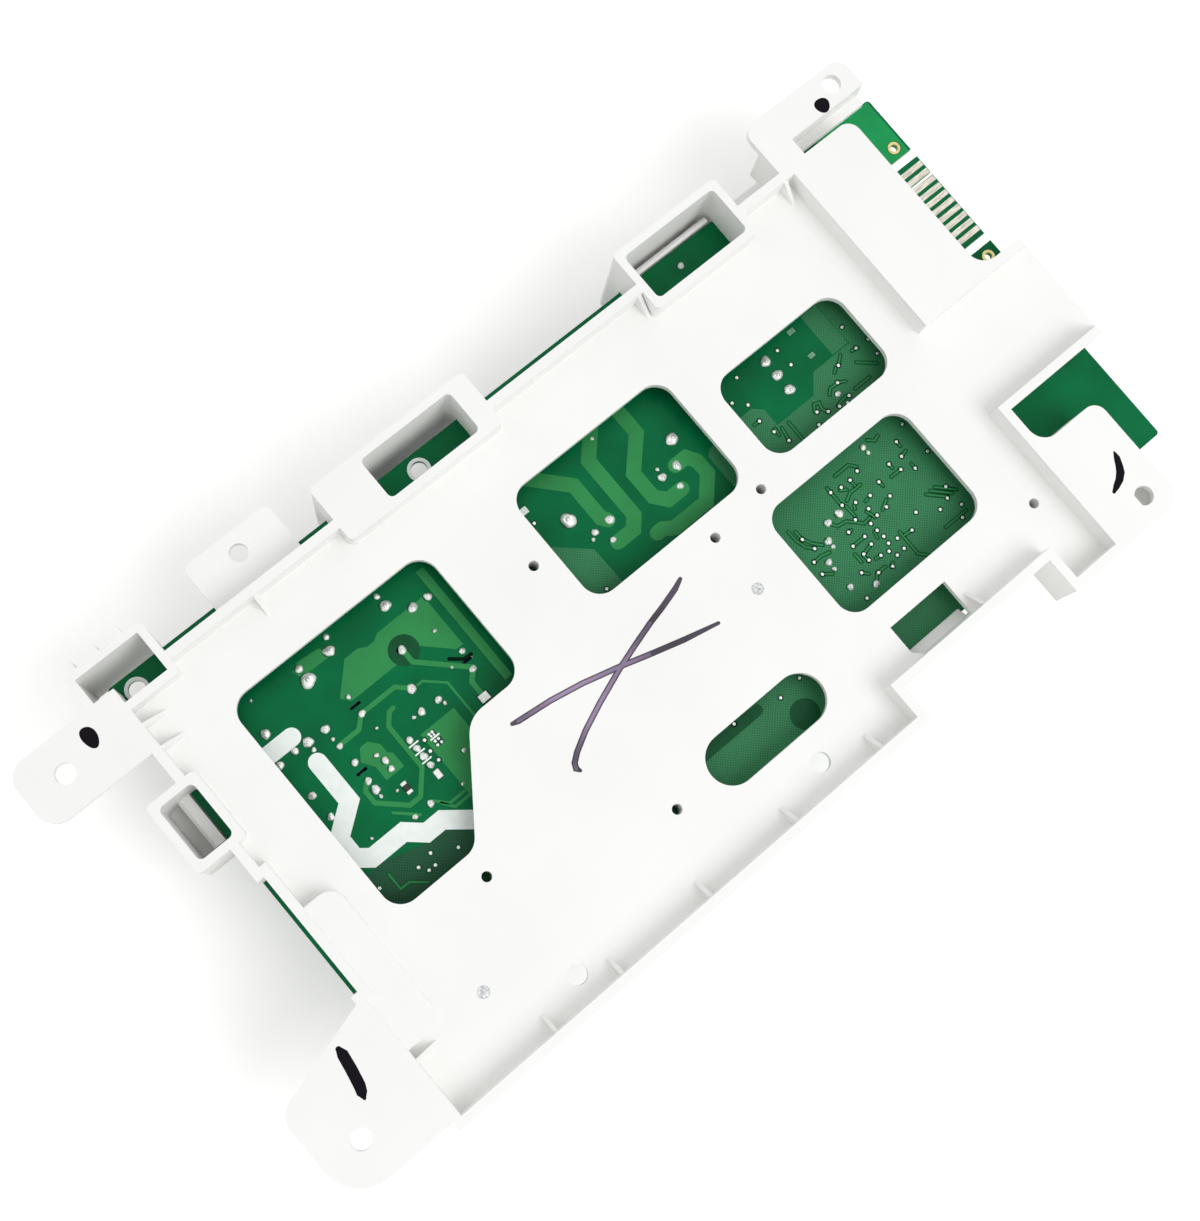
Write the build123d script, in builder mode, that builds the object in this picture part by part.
from build123d import *
import math
import os

# Washing machine control board: a circuit board held against the back of a shallow
# moulded tray by hairpin clips and two thread-forming screws. Its parts hang below the
# board, and the assembly stands on the tallest of them with the tray's back uppermost.
#
# Sizes are in millimetres. Plan positions are measured from the centre of the circuit
# board, x along its length and y across it. level() moves them to the part's own frame,
# whose origin is under the middle of the whole outline, on the surface it stands on.

os.makedirs("parts", exist_ok=True)

# ------------------------------------------------------------------ stack of levels
TALLEST_PART = 28.0      # board underside above the surface the assembly stands on
BOARD_THICKNESS = 1.6
BOSS_HEIGHT = 5.2        # board to the inside of the tray's panel
PANEL_THICKNESS = 2.0
RIM_HEIGHT = 6.7         # rim above the outside of the panel
FLANGE_THICKNESS = 2.2

UNDER = TALLEST_PART
TOP = UNDER + BOARD_THICKNESS
PANEL_IN = TOP + BOSS_HEIGHT
PANEL_OUT = PANEL_IN + PANEL_THICKNESS
RIM = PANEL_OUT + RIM_HEIGHT
FLANGE_IN = RIM - FLANGE_THICKNESS

# ------------------------------------------------------------------ circuit board plan
BOARD_LENGTH = 245.0
BOARD_WIDTH = 115.0
BOARD_CORNER = 1.0
EDGE_GAP = 0.3           # board edge to the tray beside it

RIGHT_EDGE = BOARD_LENGTH / 2
LEFT_EDGE = -RIGHT_EDGE
TOP_EDGE = BOARD_WIDTH / 2
BOTTOM_EDGE = -TOP_EDGE

CONTACTS = 10            # card edge contacts
CONTACT_PITCH = 2.5
CONTACT_WIDTH = 1.5
CONTACT_LENGTH = 8.0
CONTACT_THICKNESS = 0.1
CONTACT_INSET = 0.2
CONTACT_Y = 24.5         # middle of the card edge
CARD_SLOT_PITCH = 29.2   # between the two end slots of the card edge
CARD_SLOT_WIDTH = 2.4
CARD_SLOT_DEPTH = 9.0
KEY_SLOT_WIDTH = 0.8
KEY_AFTER = 2            # contacts above the polarising slot
LOCATING_PITCH = 37.5
LOCATING_HOLE = 2.0
LOCATING_INSET = 3.4

SCREW_POINTS = ((LEFT_EDGE + 23.1, BOTTOM_EDGE + 4.6), (12.2, -22.2))
SPARE_BOSSES = ((-26.5, 16.4), (12.4, -6.1), (29.2, -4.0),
                (LEFT_EDGE + 40.4, BOTTOM_EDGE + 24.3), (-37.7, BOTTOM_EDGE + 7.5),
                (RIGHT_EDGE - 41.8, BOTTOM_EDGE + 7.5))
BOARD_HOLE = 4.2         # two plain holes near the top edge
BOARD_HOLE_INSET = 4.2
BOARD_HOLES = ((LEFT_EDGE + 5.6, TOP_EDGE - BOARD_HOLE_INSET),
               (-31.6, TOP_EDGE - BOARD_HOLE_INSET))
CREEPAGE_WIDTH = 0.9     # slots milled between live pins
CREEPAGE_LENGTH = 3.2
SCREW_CLEARANCE = 0.2

# ------------------------------------------------------------------ tray plan
WALL = 2.4
TOP_INSET = 3.8          # top wall stands this far inside the board's edge
DUCT_WIDTH = 15.05       # panel beyond the board's bottom edge
SHALLOW_WIDTH = 5.15     # the same to the right of the step
STEP_X = 22.3
CORNER_BOX_LEFT = RIGHT_EDGE - 51.3
RECESS_RIGHT = RIGHT_EDGE - 35.5
LEFT_JOG = 1.9           # stretch of left wall set in from the board's edge
LEFT_JOG_ENDS = (-34.2, -0.9)

RIM_LEFT = LEFT_EDGE - EDGE_GAP
RIM_TOP = TOP_EDGE - TOP_INSET
RIM_BOTTOM = BOTTOM_EDGE - DUCT_WIDTH
SHALLOW_BOTTOM = BOTTOM_EDGE - SHALLOW_WIDTH
FLANGE_LEFT = RECESS_RIGHT + WALL

FLANGE_RIGHT = RIGHT_EDGE - 14.3
WING_TOP = 1.0
WING_BOTTOM = -26.0
WING_REACH = 2.5         # wing beyond the board's right edge
WING_END = RIGHT_EDGE + WING_REACH
WING_WALL_END = WING_END - 5.0
CONNECTOR_FLOOR = BOTTOM_EDGE + 17.3  # lower side of the opening at the bottom right
CORNER_SOFT = 3.6
CORNER_WIDE = 5.0

WINDOW_CORNER = 5.3
WINDOW_LEFT = LEFT_EDGE + 19.3
WINDOW_RIGHT = LEFT_EDGE + 77.6
WINDOW_TOP, WINDOW_BOTTOM = 35.9, -26.5
WINDOW_SHELF = -2.04     # bottom of the wide part of the cranked window
WINDOW_BEND_TOP = LEFT_EDGE + 60.65
WINDOW_BEND_BOTTOM = LEFT_EDGE + 42.5
WINDOW_BEND_RADIUS = 8.0
# centre x, centre y, length, width of the plain windows
PLAIN_WINDOWS = ((3.75, 16.7, 48.5, 33.6), (RIGHT_EDGE - 65.5, 11.15, 40.2, 24.9),
                 (RIGHT_EDGE - 74.75, -26.25, 45.3, 33.5))
SLOT_CENTRE = (-8.6, BOTTOM_EDGE + 8.2)
SLOT_LENGTH = 35.2
SLOT_WIDTH = 13.0
CLIP_WINDOW = (31.3, 49.6)
CLIP_WINDOW_TOP = BOTTOM_EDGE + 7.3
CLIP_WINDOW_CUT = 2.2

BOSS_DIAMETER = 6.4
PILOT_HOLE = 2.6
DUCT_HOLES = ((LEFT_EDGE + 42.1, BOTTOM_EDGE - 6.4), (-3.7, BOTTOM_EDGE - 6.2))
DUCT_HOLE = 5.0
PAD_WIDTH = 10.4         # raised pad beside the left wall
PAD_ENDS = (BOTTOM_EDGE + 5.9, -11.9)
PAD_HEIGHT = 5.0
PAD_CORNER = 4.3

# fixing tabs
TAB_HOLE_X = LEFT_EDGE - 17.8
TAB_HOLE = 5.0
TAB_END_RADIUS = 10.5
UPPER_TAB_Y = TOP_EDGE - 12.0
UPPER_TAB_WIDTH = 17.2
UPPER_TAB_CORNER = 5.0
LOWER_TAB_Y = BOTTOM_EDGE - 2.1
LOWER_TAB_ROOT = BOTTOM_EDGE + 21.3
LOWER_TAB_SLOPE_END = BOTTOM_EDGE + 13.5
SIDE_TAB = (LEFT_EDGE + 31.3, LEFT_EDGE + 56.2)
SIDE_TAB_OVERHANG = 10.5  # tabs beyond the board's top edge
SIDE_TAB_REACH = TOP_EDGE + SIDE_TAB_OVERHANG
SIDE_TAB_CORNER = 2.0
SIDE_TAB_HOLE = (LEFT_EDGE + 43.8, SIDE_TAB_REACH - 5.3)
SIDE_TAB_HOLE_SIZE = 4.6
CORNER_TAB = (RIGHT_EDGE - 29.9, RIGHT_EDGE - 5.5)
CORNER_TAB_ROOT = RIGHT_EDGE - 38.5
CORNER_TAB_FLOOR = TOP_EDGE + 1.1
CORNER_TAB_HOLE = (RIGHT_EDGE - 12.0, SIDE_TAB_REACH - 4.4)
CORNER_LEDGE = TOP_EDGE - 1.5
FOOT_TAB_HOLE = (RIGHT_EDGE - 21.5, RIM_BOTTOM + 6.75)
LEDGE_REACH = 0.4
LEDGE_THICKNESS = 1.6

# clip pockets: x from, x to, y from, y to of the outside of each
POCKET_WALL = 2.1
POCKET_HIGH = TOP_EDGE + 5.6
CORNER_POCKET = (LEFT_EDGE - 5.5, LEFT_EDGE + 16.2, TOP_EDGE - 9.7, POCKET_HIGH)
LEFT_POCKET = (LEFT_EDGE - 9.2, LEFT_EDGE + 4.6, 8.8, 28.2)
MIDDLE_POCKET = (-57.2, -10.7, TOP_EDGE - 10.4, POCKET_HIGH)
MIDDLE_POCKET_OPENING = (-43.5, -16.4)
RIGHT_POCKET = (36.8, 70.0, TOP_EDGE - 12.1, POCKET_HIGH)
POCKET_CORNER = 1.4
POCKET_FOOT = 11.0       # lower end of the pocket walls outside the board's top edge
POCKET_RIBS = (LEFT_EDGE - 2.4, LEFT_EDGE + 4.0, LEFT_EDGE + 10.6)
POCKET_RIB_WIDTH = 1.7
POCKET_RIB_REACH = 2.4

CLIP_DEPTH = 6.0         # hairpin clips below the board's underside
CLIP_THICKNESS = 1.6
CLIP_BARB = 1.0
CLIP_CLEARANCE = 0.1
CLIP_LEAD = 2.2
CLIP_SLIT = 1.5          # between a clip's end and the pocket beside it
LEFT_CLIP_THICKNESS = 3.3
WEDGE_DROP = 1.8         # top of the bottom clip's slope below the panel
CLIP_WIDTH = 11.7
CLIP_LOW = UNDER - CLIP_DEPTH

RIB_THICKNESS = 1.0
GUSSET_HEIGHT = 5.6
GUSSET_LENGTH = 4.8
LONG_GUSSET = 6.2
DUCT_RIBS = (LEFT_EDGE + 30.1, LEFT_EDGE + 50.0, -45.4, -18.3, 8.8)
TOP_RIBS = (LEFT_EDGE + 40.2, -55.2, 36.0, RIGHT_EDGE - 38.0)
LEFT_RIBS = (TOP_EDGE - 8.5, TOP_EDGE - 14.0, TOP_EDGE - 20.7, BOTTOM_EDGE + 2.9)

TAB_END = TAB_HOLE_X - TAB_END_RADIUS
X_MIDDLE = (TAB_END + WING_END) / 2
Y_MIDDLE = (SIDE_TAB_REACH + RIM_BOTTOM) / 2

# ------------------------------------------------------------------ parts on the board
def middle(first, second):
    """Point halfway between two plan positions."""
    return (first[0] + second[0]) / 2, (first[1] + second[1]) / 2


# Plan positions of the pins that end in solder joints on the tray side.
DIP_ROW = 7.62
DIP_PITCH = 2.54
CONTROLLER_AT = (LEFT_EDGE + 43.5, -0.3)
PINS = {
    "fuse": ((LEFT_EDGE + 22.0, 26.0), (LEFT_EDGE + 22.0, TOP_EDGE - 9.1)),
    "thermistor": ((LEFT_EDGE + 21.4, 1.0), (LEFT_EDGE + 21.4, 7.7)),
    "film_capacitor_small": ((LEFT_EDGE + 33.5, 12.8), (LEFT_EDGE + 33.5, 18.0)),
    "y_capacitor_1": ((LEFT_EDGE + 33.8, 2.1), (LEFT_EDGE + 33.8, 7.4)),
    "y_capacitor_2": ((LEFT_EDGE + 70.1, 7.0), (LEFT_EDGE + 70.1, 12.1)),
    "varistor": ((LEFT_EDGE + 42.5, 15.4), (LEFT_EDGE + 42.5, 20.6)),
    "film_capacitor": ((LEFT_EDGE + 45.9, 32.1), (LEFT_EDGE + 63.2, 32.1)),
    "small_capacitor_1": ((LEFT_EDGE + 53.7, 6.7), (LEFT_EDGE + 58.6, 6.7)),
    "small_capacitor_2": ((LEFT_EDGE + 68.0, 27.6), (LEFT_EDGE + 72.5, 27.6)),
    "triac_1": ((-8.2, 14.2), (-5.7, 9.9), (-3.2, 14.2)),
    "triac_2": ((13.9, 14.2), (16.4, 9.9), (18.9, 14.2)),
    "heat_sink": ((-11.2, 20.4), (22.2, 20.4)),
    "crystal": ((RIGHT_EDGE - 84.1, -20.7), (RIGHT_EDGE - 79.2, -20.7)),
}
# Joints of wire links and small upright parts: x, y, radius.
LINK_JOINTS = (
    (LEFT_EDGE + 37.7, 29.6, 1.9), (LEFT_EDGE + 37.7, 33.2, 1.0), (LEFT_EDGE + 47.5, 35.2, 0.8),
    (LEFT_EDGE + 63.0, 35.3, 0.8), (LEFT_EDGE + 59.5, 21.3, 1.1), (LEFT_EDGE + 55.3, 12.6, 1.2),
    (LEFT_EDGE + 33.7, -0.9, 1.0), (LEFT_EDGE + 41.5, -11.5, 0.9), (LEFT_EDGE + 36.7, -11.6, 0.7),
    (36.0, -24.3, 1.0), (38.2, -40.1, 0.9), (RIGHT_EDGE - 63.5, -11.8, 0.8),
    (RIGHT_EDGE - 59.3, 2.7, 0.8), (53.7, TOP_EDGE - 4.2, 0.9))
JOINT_RADIUS = 1.15
DIP_JOINT_RADIUS = 0.85
LEG_JOINT_RADIUS = 1.8   # joints of the heat sink's legs
JOINT_SLOPE = 35.0       # taper of a joint, degrees
JOINT_RISE = 0.9         # height over radius
LEAD = 0.8               # lead thickness

SCREW_DIAMETER = 3.0     # thread-forming screws from the component side
THREAD_FIT = 0.05
SCREW_HEAD = 5.6
SCREW_HEAD_HEIGHT = 2.1
RECESS_WIDTH = 0.8
RECESS_LENGTH = 3.0
RECESS_DEPTH = 1.2

# capacitor cans: plan position, diameter, height; those of TALLEST_PART touch the surface
CANS = {
    "bulk_capacitor_1": ((-33.0, 24.0), 18.0, TALLEST_PART),
    "bulk_capacitor_2": ((-33.0, -2.0), 18.0, TALLEST_PART),
    "smoothing_capacitor_1": ((RIGHT_EDGE - 30.5, 24.0), 16.0, TALLEST_PART),
    "smoothing_capacitor_2": ((RIGHT_EDGE - 40.5, -36.0), 16.0, TALLEST_PART),
    "small_capacitor_1": (middle(*PINS["small_capacitor_1"]), 10.0, 20.0),
    "small_capacitor_2": (middle(*PINS["small_capacitor_2"]), 8.0, 16.0),
    "small_capacitor_3": ((LEFT_EDGE + 10.5, BOTTOM_EDGE + 15.5), 10.0, 16.0),
    "small_capacitor_4": ((LEFT_EDGE + 22.5, BOTTOM_EDGE + 17.5), 10.0, 16.0),
}
CAN_BUNG = 0.5
CAN_BEAD = 2.4           # bead above the open end of a can
CAN_GROOVE = 0.6
CAN_TRIM = 0.9

# lacquered discs that stand on their edge: diameter, thickness
DISCS = {
    "varistor": (14.0, 4.5),
    "y_capacitor_1": (9.0, 4.0),
    "y_capacitor_2": (9.0, 4.0),
    "thermistor": (11.0, 4.5),
}
DISC_STANDOFF = 3.0
DISC_FLAT = 0.6

# moulded film capacitors: length, width, height
FILM_BOXES = {
    "film_capacitor": (20.5, 8.5, 16.0),
    "film_capacitor_small": (7.5, 3.6, 8.0),
}
FILM_FOOT = 0.5
FILM_EDGE = 0.6

RELAYS = {
    "relay_1": (LEFT_EDGE + 60.5, TOP_EDGE - 11.0),
    "relay_2": (LEFT_EDGE + 84.0, TOP_EDGE - 13.0),
    "relay_3": (18.0, TOP_EDGE - 11.5),
}
RELAY_LENGTH, RELAY_WIDTH, RELAY_HEIGHT = 19.0, 15.5, 15.5
RELAY_BASE = 1.0
RELAY_EDGE = 0.8

# housings: plan middle, pin rows run along, pins, pitch, length, width, height
HEADERS = {
    "mains_header": ((LEFT_EDGE + 24.6, 18.3), "x", 3, 3.96, 12.6, 8.5, 9.0),
    "valve_header": ((RIGHT_EDGE - 68.3, 16.0), "y", 3, 4.7, 17.0, 12.0, 14.0),
    "sensor_header": ((RIGHT_EDGE - 54.5, BOTTOM_EDGE + 5.5), "x", 8, 2.5, 22.6, 9.0, 12.0),
    "motor_header": ((RIGHT_EDGE - 23.5, BOTTOM_EDGE + 7.0), "x", 3, 4.7, 17.0, 12.0, 14.0),
    "pump_header": ((RIGHT_EDGE - 25.5, TOP_EDGE - 11.5), "x", 2, 4.7, 12.3, 12.0, 14.0),
}
SHELL_WALL = 1.2
SHELL_FLOOR = 3.0
SHELL_KEY = 3.0          # keying slot in one wall of a housing
PIN = 1.0
PIN_BELOW_MOUTH = 2.0

TRANSISTOR_WIDTH = 10.2
TRANSISTOR_BODY = 9.2    # height of the moulded body
TRANSISTOR_THICKNESS = 4.5
TRANSISTOR_TAB = 1.3
TRANSISTOR_REACH = 15.4  # body and tab together
TRANSISTOR_BORE = 3.6
TRANSISTOR_BORE_INSET = 2.9
TRANSISTOR_PITCH = 2.5
TRANSISTOR_CHAMFER = 0.5
TRANSISTOR_LEAD = 2.6    # leads' distance from the back
LEAD_LIFT = 7.0          # board to the moulded body

SINK_LENGTH = 40.0
SINK_PLATE = 3.0
SINK_FINS = 7
SINK_FIN = 1.5
SINK_REACH = 11.0
SINK_STAND = 1.0
SINK_LEG = 3.0
SINK_X = 5.5
SINK_FACE = 18.9         # face that carries the transistors
SINK_SCREW = 3.0
SINK_SCREW_HEAD = 5.5

CORE_WIDTH = 25.4        # transformer core
CORE_HEIGHT = 25.4
CORE_STACK = 7.0
CORE_LEG = 6.5
CORE_YOKE = 3.2
TRANSFORMER_AT = (LEFT_EDGE + 62.5, -33.0)
BOBBIN_WALL = 1.1
BOBBIN_CLEARANCE = 0.1
BOBBIN_DEPTH = 22.0
FLANGE_SHEET = 1.2
RAIL_WIDTH = 3.0
WINDING_CORNER = 3.0

CHOKE_AT = (LEFT_EDGE + 35.5, TOP_EDGE - 11.0)
CHOKE_RING = 15.0        # ring core of the mains choke
CHOKE_BORE = 8.0
CHOKE_RING_HEIGHT = 8.0
CHOKE_WIRE = 1.0
CHOKE_BAND = 130.0       # degrees of ring under each winding
CHOKE_BASE = 18.5
CHOKE_BASE_THICKNESS = 1.6

FUSE_LENGTH = 20.0
FUSE_CAP = 5.3
FUSE_CAP_LENGTH = 5.2
FUSE_GLASS = 4.6
FUSE_STAND = 5.0         # board to the middle of the fuse
CLIP_METAL = 0.6
CLIP_LONG = 5.6

DRUM_AT = (LEFT_EDGE + 34.5, BOTTOM_EDGE + 15.5)
DRUM_DIAMETER, DRUM_HEIGHT, DRUM_RIM = 10.0, 12.0, 1.6
DRUM_WAIST = 7.6

REGULATOR_AT = (LEFT_EDGE + 38.5, BOTTOM_EDGE + 4.5)
BRIDGE_AT = (LEFT_EDGE + 10.5, 30.0)
BRIDGE_LENGTH, BRIDGE_WIDTH, BRIDGE_HEIGHT = 15.0, 3.6, 11.5
BRIDGE_PITCH = 3.8
BRIDGE_CUT = 2.5
BRIDGE_STAND = 2.0

CHIP_AT = (RIGHT_EDGE - 76.5, -30.0)  # microcontroller
CHIP_SIDE = 10.0
CHIP_THICKNESS = 1.5
CHIP_LEADS = 11
CHIP_PITCH = 0.8
CHIP_STAND = 0.1
CHIP_FOOT = 0.6
CRYSTAL_LENGTH, CRYSTAL_WIDTH, CRYSTAL_HEIGHT = 10.8, 4.5, 3.5
CRYSTAL_RIM = 0.5

DRIVER_AT = (RIGHT_EDGE - 27.5, -12.0)
OPTOCOUPLERS = {"optocoupler_1": (LEFT_EDGE + 88.5, -40.0),
                "optocoupler_2": (LEFT_EDGE + 102.5, -40.0)}
DIP_BODY = 6.3
DIP_HEIGHT = 3.3
DIP_STAND = 0.6
DIP_LEAD = 1.2
DIP_SHEET = 0.3
DIP_END = 0.4


# ================================================================== helpers
def level(z):
    """Sketch plane at height z, with plan positions measured from the board's centre."""
    return Plane(origin=(-X_MIDDLE, -Y_MIDDLE, z))


def spot(x, y, z):
    """Point in the part's own frame from a plan position."""
    return Vector(x - X_MIDDLE, y - Y_MIDDLE, z)


def upright(x, y, direction):
    """Vertical plane at a plan position: its x points along direction, its y up."""
    side = Vector(*direction, 0)
    return Plane(origin=spot(x, y, 0), x_dir=side, z_dir=side.cross(Vector(0, 0, 1)))


def bay(x_from, x_to, y_from, y_to, mode=Mode.ADD):
    """Rectangle between plan lines, in the sketch being drawn."""
    with Locations(((x_from + x_to) / 2, (y_from + y_to) / 2)):
        Rectangle(x_to - x_from, y_to - y_from, mode=mode)


def soft_bay(x_from, x_to, y_from, y_to):
    """The same rectangle with soft corners."""
    with Locations(((x_from + x_to) / 2, (y_from + y_to) / 2)):
        RectangleRounded(x_to - x_from, y_to - y_from, POCKET_CORNER)


def block(x_from, x_to, y_from, y_to, z_from, z_to, mode=Mode.ADD):
    """Box between plan lines and levels, in the part being built."""
    with BuildSketch(level(z_from)) as plan:
        bay(x_from, x_to, y_from, y_to)
    extrude(plan.sketch, amount=z_to - z_from, mode=mode)


def posts(points, size, z_from, z_to, mode=Mode.ADD):
    """Square pins standing between two levels."""
    with BuildSketch(level(z_from)) as plan:
        with Locations(*points):
            Rectangle(size, size)
    extrude(plan.sketch, amount=z_to - z_from, mode=mode)


def plate(plane, points, thickness):
    """Flat plate of a closed outline, centred on the plane."""
    with BuildSketch(plane) as plan:
        with BuildLine():
            Polyline(*points, close=True)
        make_face()
    extrude(plan.sketch, amount=thickness / 2, both=True)


def bore(x, y, z, diameter, depth):
    """Vertical hole cut down from height z."""
    with Locations(spot(x, y, z)):
        Hole(diameter / 2, depth=depth)


def write(piece, node):
    """Label a finished piece and write its file."""
    piece.part.label = node
    export_step(piece.part, f"parts/{node}.step")


def dip_pins(at, count, along_y=True):
    """Pin positions of a dual in-line package, one row after the other."""
    rows = []
    for side in (-DIP_ROW / 2, DIP_ROW / 2):
        for i in range(count // 2):
            step = (i - (count / 2 - 1) / 2) * DIP_PITCH
            offset = (side, step) if along_y else (step, side)
            rows.append((at[0] + offset[0], at[1] + offset[1]))
    return rows


def header_pins_of(node):
    """Pin positions of a housing."""
    (x, y), along, count, pitch = HEADERS[node][:4]
    steps = [(i - (count - 1) / 2) * pitch for i in range(count)]
    return [(x + s, y) if along == "x" else (x, y + s) for s in steps]


# ================================================================== circuit board
with BuildPart() as circuit_board:
    with BuildSketch(level(UNDER)):
        RectangleRounded(BOARD_LENGTH, BOARD_WIDTH, BOARD_CORNER)
        card_x = RIGHT_EDGE - CARD_SLOT_DEPTH / 2
        key_y = CONTACT_Y + ((CONTACTS - 1) / 2 - KEY_AFTER + 0.5) * CONTACT_PITCH
        with Locations((card_x, CONTACT_Y - CARD_SLOT_PITCH / 2),
                       (card_x, CONTACT_Y + CARD_SLOT_PITCH / 2)):
            Rectangle(CARD_SLOT_DEPTH, CARD_SLOT_WIDTH, mode=Mode.SUBTRACT)
        with Locations((card_x, key_y)):
            Rectangle(CARD_SLOT_DEPTH, KEY_SLOT_WIDTH, mode=Mode.SUBTRACT)
        with Locations((RIGHT_EDGE - LOCATING_INSET, CONTACT_Y - LOCATING_PITCH / 2),
                       (RIGHT_EDGE - LOCATING_INSET, CONTACT_Y + LOCATING_PITCH / 2)):
            Circle(LOCATING_HOLE / 2, mode=Mode.SUBTRACT)
        with Locations(*BOARD_HOLES):
            Circle(BOARD_HOLE / 2, mode=Mode.SUBTRACT)
        with Locations(*SCREW_POINTS):
            Circle(SCREW_DIAMETER / 2 + SCREW_CLEARANCE, mode=Mode.SUBTRACT)
        for live in ("varistor", "y_capacitor_1", "y_capacitor_2"):
            with Locations(middle(*PINS[live])):
                SlotOverall(CREEPAGE_LENGTH, CREEPAGE_WIDTH, mode=Mode.SUBTRACT)
    extrude(amount=BOARD_THICKNESS)
write(circuit_board, "circuit_board")

with BuildPart() as edge_contacts:
    with BuildSketch(level(TOP)):
        with Locations((RIGHT_EDGE - CONTACT_INSET - CONTACT_LENGTH / 2, CONTACT_Y)):
            with GridLocations(0, CONTACT_PITCH, 1, CONTACTS):
                Rectangle(CONTACT_LENGTH, CONTACT_WIDTH)
    extrude(amount=CONTACT_THICKNESS)
write(edge_contacts, "edge_contacts")


def joint(x, y, radius):
    """Cone of solder round a pin's end."""
    with BuildSketch(level(TOP)) as foot:
        with Locations((x, y)):
            Circle(radius)
    extrude(foot.sketch, amount=JOINT_RISE * radius, taper=JOINT_SLOPE)


with BuildPart() as solder_joints:
    for node, pins in PINS.items():
        for pin in pins:
            joint(*pin, LEG_JOINT_RADIUS if node == "heat_sink" else JOINT_RADIUS)
    for node in ("mains_header", "valve_header"):
        for pin in header_pins_of(node):
            joint(*pin, JOINT_RADIUS)
    for pin in dip_pins(CONTROLLER_AT, 8):
        joint(*pin, DIP_JOINT_RADIUS)
    for x, y, radius in LINK_JOINTS:
        joint(x, y, radius)
write(solder_joints, "solder_joints")


# ================================================================== tray
def shrunk(limits, wall):
    """Plan limits of the inside of a walled box."""
    x_from, x_to, y_from, y_to = limits
    return x_from + wall, x_to - wall, y_from + wall, y_to - wall


def clip(edge, start, end, outward, reach, thickness):
    """Hairpin clip along a stretch of the board's edge. The floor joins the wall, reach
    away from the edge, to a tongue with a barb that catches the board's underside."""
    back = EDGE_GAP + thickness
    catch = UNDER - CLIP_CLEARANCE
    along = (start + end) / 2
    x, y = (edge, along) if outward[0] else (along, edge)
    plate(upright(x, y, outward), (
        (EDGE_GAP, CLIP_LOW), (reach, CLIP_LOW), (reach, CLIP_LOW + CLIP_THICKNESS),
        (back, CLIP_LOW + CLIP_THICKNESS), (back, TOP + CLIP_THICKNESS / 2),
        (back - CLIP_THICKNESS / 2, TOP + CLIP_THICKNESS),
        (EDGE_GAP, TOP + CLIP_THICKNESS), (EDGE_GAP, catch), (-CLIP_BARB, catch),
        (-CLIP_BARB, catch - CLIP_THICKNESS / 2), (EDGE_GAP, catch - CLIP_LEAD)),
        end - start)


def gusset(x, y, inward, length):
    """Triangular rib from a wall's inner face at (x, y) down to the panel."""
    root = PANEL_THICKNESS / 2
    plate(upright(x, y, inward), (
        (-WALL / 2, PANEL_OUT - root), (length, PANEL_OUT - root), (length, PANEL_OUT),
        (0, PANEL_OUT + GUSSET_HEIGHT), (-WALL / 2, PANEL_OUT + GUSSET_HEIGHT)),
        RIB_THICKNESS)


def tray_outline():
    """Outline of the recess, outside its rim wall."""
    jog_low, jog_high = LEFT_JOG_ENDS
    with BuildLine() as rim:
        Polyline((RIM_LEFT, RIM_BOTTOM), (STEP_X, RIM_BOTTOM), (STEP_X, SHALLOW_BOTTOM),
                 (CORNER_BOX_LEFT, SHALLOW_BOTTOM), (CORNER_BOX_LEFT, RIM_BOTTOM),
                 (FLANGE_LEFT, RIM_BOTTOM), (FLANGE_LEFT, RIM_TOP), (RIM_LEFT, RIM_TOP),
                 (RIM_LEFT, jog_high), (RIM_LEFT + LEFT_JOG, jog_high),
                 (RIM_LEFT + LEFT_JOG, jog_low), (RIM_LEFT, jog_low), close=True)
    make_face(rim.edges())


def upper_flange():
    """Raised corner beside the card edge, with the strip that runs on over the wing."""
    with BuildSketch(level(TOP)) as plan:
        with BuildLine():
            Polyline((RECESS_RIGHT, WING_TOP), (WING_WALL_END, WING_TOP),
                     (WING_WALL_END, WING_TOP + WALL), (FLANGE_RIGHT, WING_TOP + WALL),
                     (FLANGE_RIGHT, RIM_TOP), (RECESS_RIGHT, RIM_TOP), close=True)
        make_face()
        fillet(plan.vertices().sort_by_distance((FLANGE_RIGHT, RIM_TOP))[0], CORNER_SOFT)
        fillet(plan.vertices().sort_by_distance((FLANGE_RIGHT, WING_TOP + WALL))[0],
               CORNER_WIDE)
    return plan.sketch


def lower_flange():
    """Raised corner at the bottom right, with the soft corner of the cable opening."""
    with BuildSketch(level(TOP)) as plan:
        with BuildLine():
            Polyline((RECESS_RIGHT, RIM_BOTTOM), (FLANGE_RIGHT, RIM_BOTTOM),
                     (FLANGE_RIGHT, CONNECTOR_FLOOR), (FLANGE_LEFT, CONNECTOR_FLOOR),
                     (FLANGE_LEFT, WING_BOTTOM), (RECESS_RIGHT, WING_BOTTOM), close=True)
        make_face()
        fillet(plan.vertices().sort_by_distance((FLANGE_RIGHT, RIM_BOTTOM))[0], CORNER_WIDE)
        fillet(plan.vertices().sort_by_distance((FLANGE_RIGHT, CONNECTOR_FLOOR))[0],
               CORNER_SOFT)
        fillet(plan.vertices().sort_by_distance((FLANGE_LEFT, CONNECTOR_FLOOR))[0],
               CORNER_WIDE)
    return plan.sketch


def raised_corner(flange, x_from, x_to, y_from, y_to):
    """Flange at rim level over a skirt that stands on the board, hollow between lines."""
    extrude(flange, amount=RIM - TOP)
    block(x_from, x_to, y_from, y_to, TOP, FLANGE_IN, mode=Mode.SUBTRACT)


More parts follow.
